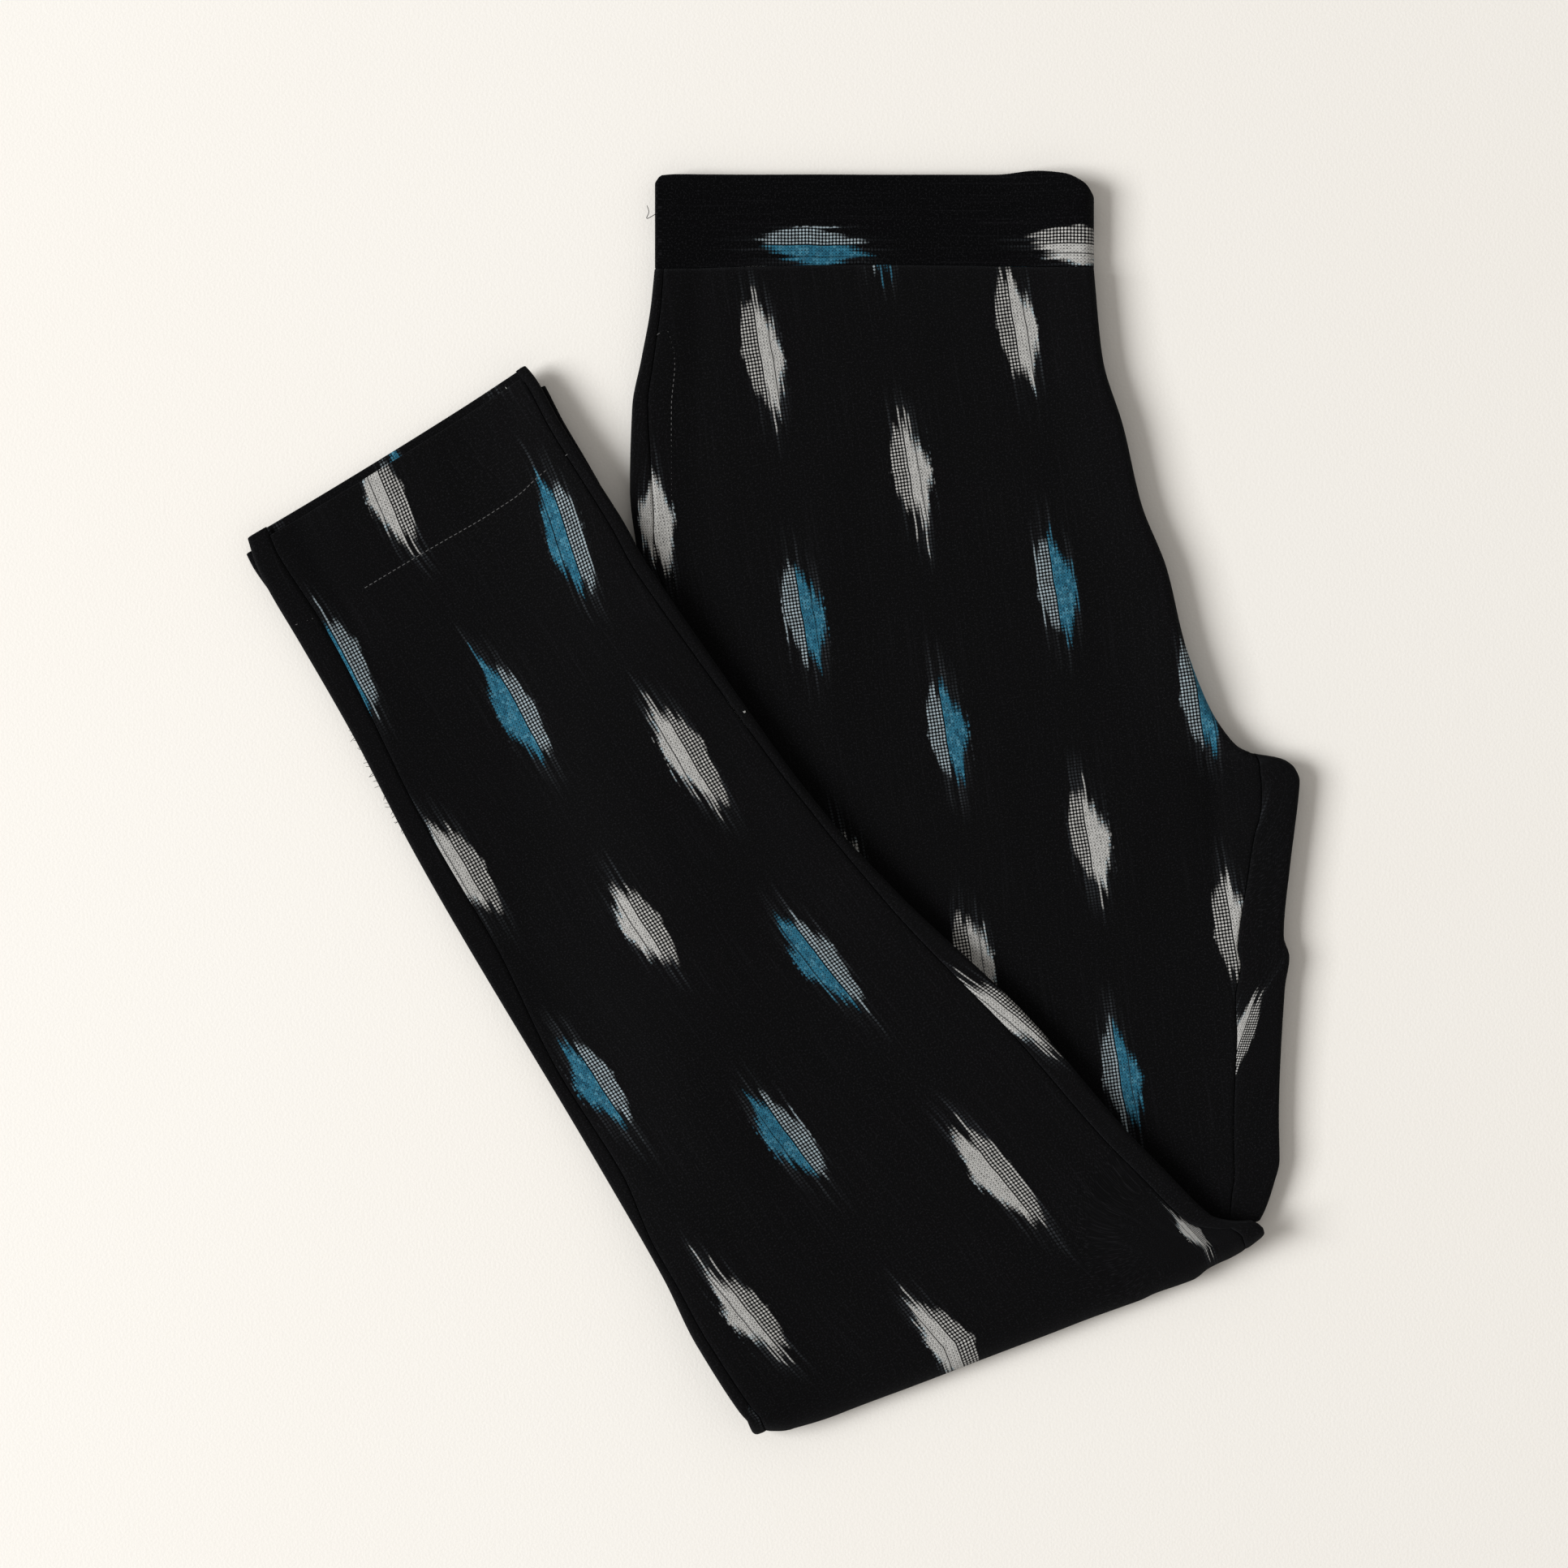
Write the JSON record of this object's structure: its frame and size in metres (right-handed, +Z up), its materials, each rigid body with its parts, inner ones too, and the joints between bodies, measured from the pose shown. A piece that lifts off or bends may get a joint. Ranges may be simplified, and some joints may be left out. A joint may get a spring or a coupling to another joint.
{
  "type": "tapered ikat trousers",
  "caption": "Tapered cotton trousers, black with white and blue ikat, folded in half and then at the knee",
  "frame": {"origin": "under the middle of the folded trousers, on the surface that they lie on", "axes": "+X to the wearer's centre front, +Y to the waist, +Z up from the surface"},
  "size_m": [0.4621, 0.5526, 0.0206],
  "materials": {
    "band_cloth": "matte plain weave",
    "thigh_cloth": "matte ikat weave",
    "leg_cloth": "matte ikat weave",
    "under_cloth": "matte plain weave"
  },
  "bodies": {
    "root": {"waistband": "band_cloth", "right_front": "thigh_cloth", "right_back": "thigh_cloth", "left_front": "leg_cloth", "left_back": "leg_cloth", "hidden_layers": "under_cloth"}
  },
  "joints": []
}
